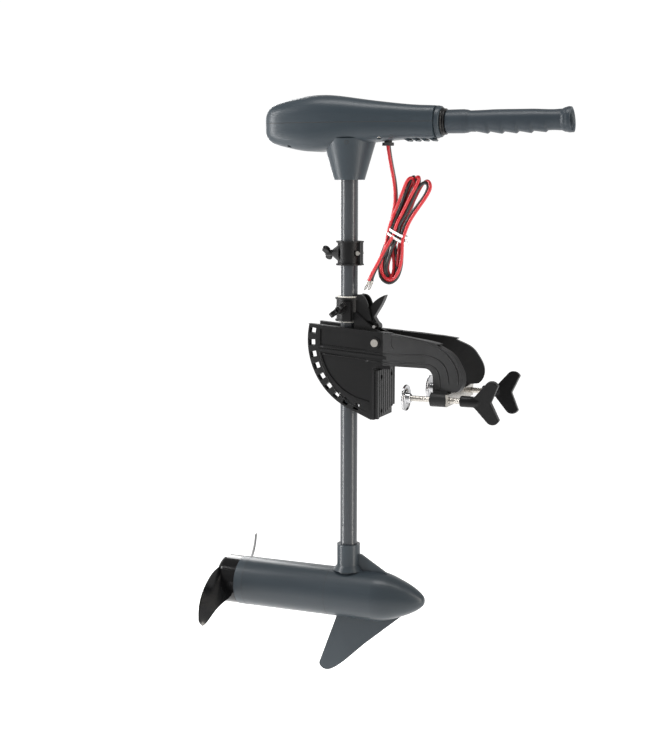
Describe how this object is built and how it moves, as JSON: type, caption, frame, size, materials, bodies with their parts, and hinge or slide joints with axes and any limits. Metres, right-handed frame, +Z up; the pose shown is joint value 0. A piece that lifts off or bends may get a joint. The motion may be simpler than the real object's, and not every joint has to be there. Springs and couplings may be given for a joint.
{
  "type": "trolling motor",
  "caption": "Transom-mounted electric outboard: finned motor pod and two-blade propeller on a long shaft, tilting clamp bracket, and control head with telescoping twist-grip tiller.",
  "frame": {"origin": "on the face of the transom pad, midway across it and 42 mm above its lower edge, where the boat's transom bears", "axes": "+X forward into the boat, the way the tiller and the nose of the pod point; +Y to port; +Z up along the shaft"},
  "size_m": [0.604, 0.2272, 0.9754],
  "materials": {
    "black_nylon": "moulded glass-filled nylon, satin",
    "grey_cast": "painted aluminium casting, satin slate grey",
    "grey_steel": "painted steel tube, satin slate grey",
    "grey_plastic": "moulded ABS, satin slate grey",
    "shaft_composite": "pultruded composite, satin grey",
    "grip_plastic": "moulded grip, satin slate grey",
    "prop_plastic": "glossy black nylon",
    "knob_plastic": "moulded black plastic",
    "chrome": "bright plated steel",
    "steel": "machined steel",
    "zinc": "bright zinc-plated steel",
    "brass": "machined brass",
    "copper": "enamelled copper",
    "rubber": "black nitrile rubber",
    "magnet": "sintered ferrite",
    "laminations": "stacked electrical steel",
    "carbon": "pressed carbon",
    "phenolic": "phenolic board",
    "nylon_white": "natural nylon",
    "red_pvc": "red PVC insulation",
    "black_pvc": "black PVC insulation",
    "white_tie": "white plastic strip"
  },
  "bodies": {
    "bracket": {"bracket_side_starboard": "black_nylon", "bracket_side_port": "black_nylon", "screw_inserts": "brass", "transom_pad": "black_nylon", "pad_screws": "zinc", "tilt_pivot_pin": "zinc", "clamp_brace": "zinc"},
    "clamp_foot_starboard": {"clamp_pad_starboard": "chrome"},
    "clamp_screw_starboard": {"clamp_screw_starboard": "zinc", "clamp_wing_starboard": "knob_plastic"},
    "clamp_foot_port": {"clamp_pad_port": "chrome"},
    "clamp_screw_port": {"clamp_screw_port": "zinc", "clamp_wing_port": "knob_plastic"},
    "yoke": {"steering_yoke": "black_nylon", "pivot_bushes": "nylon_white", "lever_pin": "steel"},
    "steering_knob": {"steering_knob": "knob_plastic"},
    "release_lever": {"release_lever": "black_nylon"},
    "lock_bar": {"lock_bar": "steel"},
    "steering_bush": {"steering_bush": "nylon_white"},
    "shaft": {"shaft_tube": "shaft_composite", "nose_casting": "grey_cast", "motor_tube": "grey_steel", "rear_end_cap": "grey_cast", "shaft_seal": "rubber", "bearings": "steel", "tube_seals": "rubber", "through_bolts": "zinc", "magnets": "magnet", "brush_plate": "phenolic", "carbon_brushes": "carbon", "motor_leads": "red_pvc", "head_lower_housing": "grey_plastic", "head_upper_cover": "grey_plastic", "head_socket": "grey_plastic", "head_screws": "zinc", "speed_switch": "knob_plastic", "cable_grommet": "rubber", "handle_bezel": "knob_plastic", "red_cable": "red_pvc", "black_cable": "black_pvc", "cable_hank": "red_pvc", "cable_tie": "white_tie", "red_tail": "red_pvc", "black_tail": "black_pvc", "ring_terminals": "zinc"},
    "rotor": {"rotor_shaft": "steel", "drive_pin": "steel", "armature_core": "laminations", "armature_windings": "copper", "commutator": "copper", "propeller": "prop_plastic", "prop_washer": "zinc", "prop_nut": "zinc"},
    "tiller": {"tiller_tube": "shaft_composite"},
    "grip": {"twist_grip": "grip_plastic", "switch_rod": "knob_plastic"},
    "depth_collar": {"depth_collar": "black_nylon", "collar_bolt": "zinc"},
    "collar_knob": {"collar_knob": "knob_plastic"}
  },
  "joints": [
    {"name": "tilt", "type": "hinge", "parent": "bracket", "child": "yoke", "pos_m": [-0.01, 0, 0.084], "axis": [0, 1, 0], "range_deg": [0, 81.6]},
    {"name": "steering", "type": "hinge", "parent": "yoke", "child": "steering_bush", "pos_m": [-0.067, 0, 0.135], "axis": [0, 0, 1], "range_deg": [-180, 180]},
    {"name": "depth", "type": "slide", "parent": "steering_bush", "child": "shaft", "axis": [0, 0, 1], "range_m": [0, 0.19]},
    {"name": "propeller_spin", "type": "hinge", "parent": "shaft", "child": "rotor", "pos_m": [-0.267, 0, -0.35], "axis": [1, 0, 0], "continuous": true},
    {"name": "tiller_extension", "type": "slide", "parent": "shaft", "child": "tiller", "axis": [1, 0, 0], "range_m": [0, 0.152]},
    {"name": "speed_twist", "type": "hinge", "parent": "tiller", "child": "grip", "pos_m": [0.193, 0, 0.4387], "axis": [1, 0, 0], "range_deg": [-81, 135]},
    {"name": "collar_height", "type": "slide", "parent": "shaft", "child": "depth_collar", "axis": [0, 0, 1], "range_m": [-0.043, 0.09]},
    {"name": "collar_knob_turn", "type": "hinge", "parent": "depth_collar", "child": "collar_knob", "pos_m": [-0.097, 0, 0.228], "axis": [-1, 0, 0], "range_deg": [-360, 0]},
    {"name": "steering_knob_turn", "type": "hinge", "parent": "yoke", "child": "steering_knob", "pos_m": [-0.071, -0.03, 0.137], "axis": [0, -1, 0], "range_deg": [-360, 0]},
    {"name": "release_lever_pull", "type": "hinge", "parent": "yoke", "child": "release_lever", "pos_m": [-0.017, 0, 0.109], "axis": [0, 1, 0], "range_deg": [0, 22]},
    {"name": "lock_bar_slide", "type": "slide", "parent": "yoke", "child": "lock_bar", "axis": [-0.2907, 0, -0.9568], "range_m": [0, 0.0096]},
    {"name": "clamp_feed_starboard", "type": "slide", "parent": "bracket", "child": "clamp_foot_starboard", "axis": [-1, 0, 0], "range_m": [-0.03, 0.016]},
    {"name": "clamp_turn_starboard", "type": "hinge", "parent": "clamp_foot_starboard", "child": "clamp_screw_starboard", "pos_m": [0.133, -0.0615, 0.002], "axis": [-1, 0, 0], "range_deg": [-3605, 1925]},
    {"name": "clamp_feed_port", "type": "slide", "parent": "bracket", "child": "clamp_foot_port", "axis": [-1, 0, 0], "range_m": [-0.03, 0.016]},
    {"name": "clamp_turn_port", "type": "hinge", "parent": "clamp_foot_port", "child": "clamp_screw_port", "pos_m": [0.133, 0.0615, 0.002], "axis": [-1, 0, 0], "range_deg": [-3605, 1925]}
  ],
  "couplings": [
    {"joint": "lock_bar_slide", "follows": "release_lever_pull", "m_per_rad": 0.0247},
    {"joint": "clamp_turn_starboard", "follows": "clamp_feed_starboard", "rad_per_m": 2094.4},
    {"joint": "clamp_turn_port", "follows": "clamp_feed_port", "rad_per_m": 2094.4}
  ]
}
